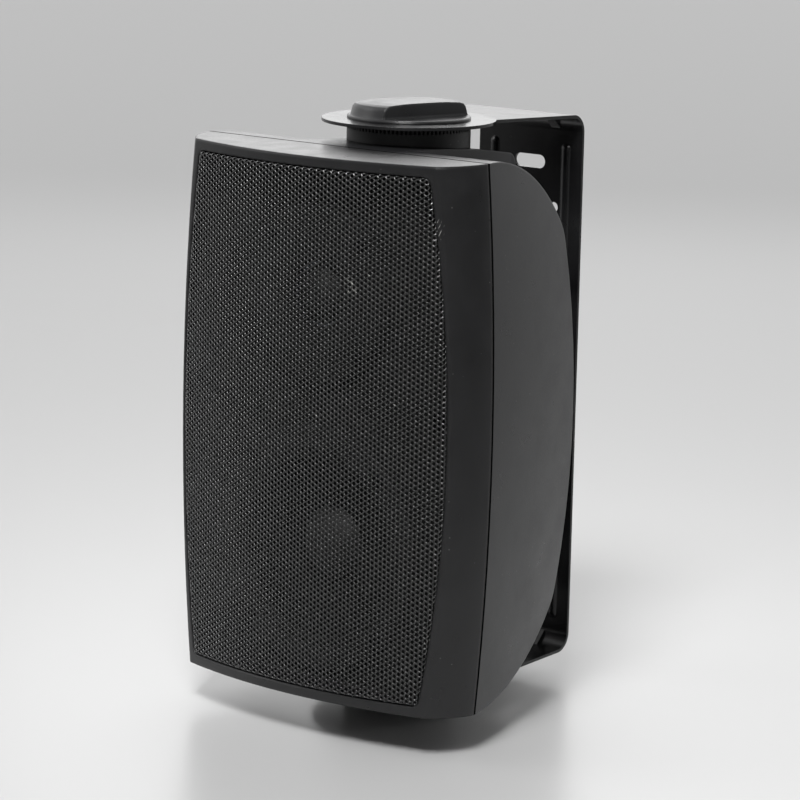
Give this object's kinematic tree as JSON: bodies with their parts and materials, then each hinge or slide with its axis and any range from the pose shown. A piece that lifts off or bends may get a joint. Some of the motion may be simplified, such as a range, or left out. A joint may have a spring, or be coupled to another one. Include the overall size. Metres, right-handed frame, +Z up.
{
  "type": "wall speaker",
  "caption": "Black two-way wall speaker with a bowed perforated grille, held between the arms of a steel swivel bracket by clamp knobs above and below.",
  "frame": {"origin": "middle of the wall plate's back face", "axes": "+Y into the wall, the speaker faces -Y, +Z up"},
  "size_m": [0.177, 0.178, 0.2884],
  "materials": {
    "bracket_paint": "satin black powder coat",
    "knob_nylon": "fine moulded texture",
    "spacer_nylon": "fine moulded texture",
    "zinc_steel": "zinc plated",
    "brass": "machined",
    "cabinet_abs": "fine moulded texture",
    "gasket_foam": "foam",
    "grille_paint": "matt black powder coat",
    "black_screw": "black phosphate",
    "frame_steel": "black paint",
    "ferrite": "ground",
    "cone_paper": "pressed pulp",
    "cap_paper": "lacquered pulp",
    "surround_rubber": "matt",
    "spider_cloth": "resin treated cotton",
    "copper_wire": "enamelled copper",
    "plate_abs": "satin",
    "dome_silk": "coated silk",
    "red_abs": "moulded",
    "black_abs": "moulded",
    "nickel_plate": "nickel plated",
    "board_laminate": "resin laminate",
    "capacitor_film": "wrapped film",
    "cement": "cast"
  },
  "bodies": {
    "bracket": {"wall_bracket": "bracket_paint"},
    "cabinet": {"top_spacer": "spacer_nylon", "bottom_spacer": "spacer_nylon", "top_insert": "brass", "bottom_insert": "brass", "front_bezel": "cabinet_abs", "rear_cabinet": "cabinet_abs", "seam_gasket": "gasket_foam", "grille": "grille_paint", "cabinet_screws": "black_screw", "woofer_frame": "frame_steel", "woofer_top_plate": "zinc_steel", "woofer_magnet": "ferrite", "woofer_back_plate": "zinc_steel", "woofer_surround": "surround_rubber", "woofer_spider": "spider_cloth", "woofer_screws": "black_screw", "tweeter_faceplate": "plate_abs", "tweeter_top_plate": "zinc_steel", "tweeter_magnet": "ferrite", "tweeter_back_plate": "zinc_steel", "tweeter_screws": "black_screw", "terminal_cup": "plate_abs", "lever_pin": "zinc_steel", "terminal_contacts": "nickel_plate", "terminal_screws": "black_screw", "crossover_board": "board_laminate", "crossover_coils": "copper_wire", "crossover_capacitors": "capacitor_film", "crossover_resistor": "cement"},
    "top_clamp": {"top_knob": "knob_nylon", "top_stud": "zinc_steel"},
    "bottom_clamp": {"bottom_knob": "knob_nylon", "bottom_stud": "zinc_steel"},
    "woofer_mover": {"woofer_cone": "cone_paper", "woofer_dust_cap": "cap_paper", "woofer_coil": "copper_wire"},
    "tweeter_mover": {"tweeter_dome": "dome_silk", "tweeter_coil": "copper_wire"},
    "red_push": {"red_lever": "red_abs"},
    "black_push": {"black_lever": "black_abs"}
  },
  "joints": [
    {"name": "cabinet_swivel", "type": "hinge", "parent": "bracket", "child": "cabinet", "pos_m": [0, -0.0975, 0], "axis": [0, 0, 1], "range_deg": [-75, 75]},
    {"name": "top_clamp_turn", "type": "hinge", "parent": "cabinet", "child": "top_clamp", "pos_m": [0, -0.0975, 0], "axis": [0, 0, 1], "range_deg": [0, 270]},
    {"name": "bottom_clamp_turn", "type": "hinge", "parent": "cabinet", "child": "bottom_clamp", "pos_m": [0, -0.0975, 0], "axis": [0, 0, -1], "range_deg": [0, 270]},
    {"name": "woofer_travel", "type": "slide", "parent": "cabinet", "child": "woofer_mover", "axis": [0, -1, 0], "range_m": [-0.004, 0.004], "stiffness_N_per_m": 1000, "deforming": ["woofer_surround", "woofer_spider"]},
    {"name": "tweeter_travel", "type": "slide", "parent": "cabinet", "child": "tweeter_mover", "axis": [0, -1, 0], "range_m": [-0.0003, 0.0003], "stiffness_N_per_m": 1500},
    {"name": "red_lever_push", "type": "hinge", "parent": "cabinet", "child": "red_push", "pos_m": [0.008, -0.0569, 0.014], "axis": [-1, 0, 0], "range_deg": [0, 18], "stiffness_Nm_per_rad": 0.25},
    {"name": "black_lever_push", "type": "hinge", "parent": "cabinet", "child": "black_push", "pos_m": [-0.008, -0.0569, 0.014], "axis": [-1, 0, 0], "range_deg": [0, 18], "stiffness_Nm_per_rad": 0.25}
  ]
}
